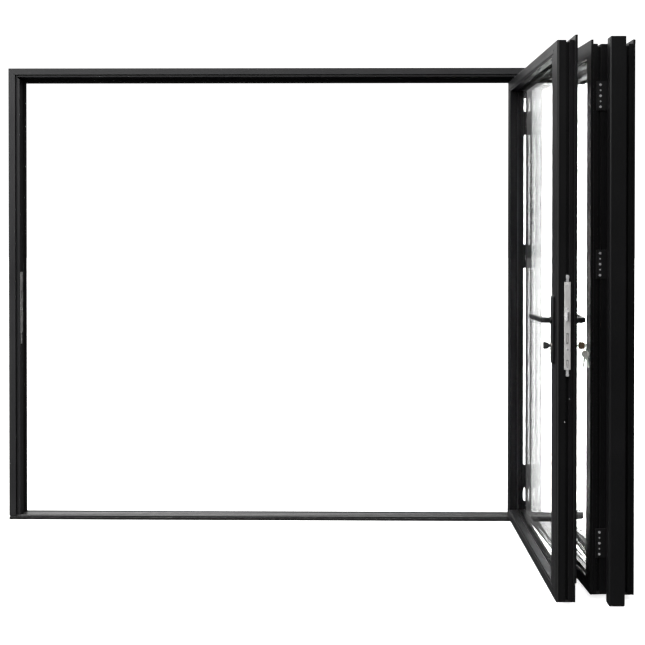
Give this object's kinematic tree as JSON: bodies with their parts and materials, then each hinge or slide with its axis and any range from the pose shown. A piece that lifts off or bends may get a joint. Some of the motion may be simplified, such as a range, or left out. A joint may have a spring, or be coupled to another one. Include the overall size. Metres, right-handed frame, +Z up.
{
  "type": "bifold glass patio door",
  "caption": "Black aluminium bifold patio door folded open to one side, with a low threshold, double glazing, lever handles and a lock.",
  "frame": {"origin": "middle of the flat underside of the threshold, which beds on the floor", "axes": "+Z up, +X along the frame towards the jamb that the leaves fold against, -Y outdoors, the way the leaves fold"},
  "size_m": [2.68, 0.92, 2.1],
  "materials": {
    "frame_coat": "satin black powder coat on the outer frame",
    "leaf_coat": "satin black powder coat on the leaves",
    "bead_coat": "satin black powder coat on the snap-in beads",
    "hinge_coat": "black powder-coated hinge castings",
    "handle_coat": "black powder-coated handles and plates",
    "clear_glass": "clear float glass",
    "seal_rubber": "black weather seal and gasket",
    "sill_metal": "grey anodised threshold",
    "track_metal": "dark anodised track",
    "lock_steel": "brushed stainless steel of the faceplate and keep",
    "latch_steel": "plated steel latch and rods",
    "case_steel": "zinc-plated lock case",
    "cylinder_nickel": "satin nickel cylinder and thumbturn",
    "key_nickel": "nickel silver keys and split ring"
  },
  "bodies": {
    "door": {"frame_jamb_left": "frame_coat", "frame_jamb_right": "frame_coat", "frame_head": "frame_coat", "frame_threshold": "sill_metal", "head_track": "track_metal", "frame_seals": "seal_rubber", "interlock_profile": "leaf_coat", "jamb_hinges": "hinge_coat", "fold_hinges": "hinge_coat", "lead_hinges": "hinge_coat", "top_carriage": "latch_steel", "bottom_guide": "hinge_coat", "lock_case": "case_steel", "lock_faceplate": "lock_steel", "shoot_rod_top": "latch_steel", "shoot_rod_bottom": "latch_steel", "backplate_outside": "handle_coat", "backplate_inside": "handle_coat", "profile_cylinder": "cylinder_nickel", "key_in_lock": "key_nickel", "key_ring": "key_nickel", "hanging_keys": "key_nickel", "lock_keep": "lock_steel", "lead_stile_near": "leaf_coat", "lead_stile_far": "leaf_coat", "lead_rail_bottom": "leaf_coat", "lead_rail_top": "leaf_coat", "lead_glass": "clear_glass", "lead_glazing_seals": "seal_rubber", "lead_beads": "bead_coat", "middle_stile_near": "leaf_coat", "middle_stile_far": "leaf_coat", "middle_rail_bottom": "leaf_coat", "middle_rail_top": "leaf_coat", "middle_glass": "clear_glass", "middle_glazing_seals": "seal_rubber", "middle_beads": "bead_coat", "jamb_leaf_stile_near": "leaf_coat", "jamb_leaf_stile_far": "leaf_coat", "jamb_leaf_rail_bottom": "leaf_coat", "jamb_leaf_rail_top": "leaf_coat", "jamb_leaf_glass": "clear_glass", "jamb_leaf_glazing_seals": "seal_rubber", "jamb_leaf_beads": "bead_coat"},
    "lever_set": {"lever_outside": "handle_coat", "lever_inside": "handle_coat", "spindle": "case_steel"},
    "latch_bolt": {"latch": "latch_steel"},
    "thumbturn_knob": {"thumbturn": "handle_coat"}
  },
  "joints": [
    {"name": "lever_turn", "type": "hinge", "parent": "door", "child": "lever_set", "pos_m": [1.013, -0.835, 1.029], "axis": [-1, 0, 0], "range_deg": [0, 45], "stiffness_Nm_per_rad": 1.2, "springref_deg": -22.92},
    {"name": "latch_slide", "type": "slide", "parent": "door", "child": "latch_bolt", "axis": [0, 1, 0], "range_m": [0, 0.012]},
    {"name": "thumbturn_turn", "type": "hinge", "parent": "door", "child": "thumbturn_knob", "pos_m": [1.013, -0.835, 0.937], "axis": [-1, 0, 0], "continuous": true}
  ],
  "couplings": [
    {"joint": "latch_slide", "follows": "lever_turn", "m_per_rad": 0.0152}
  ]
}
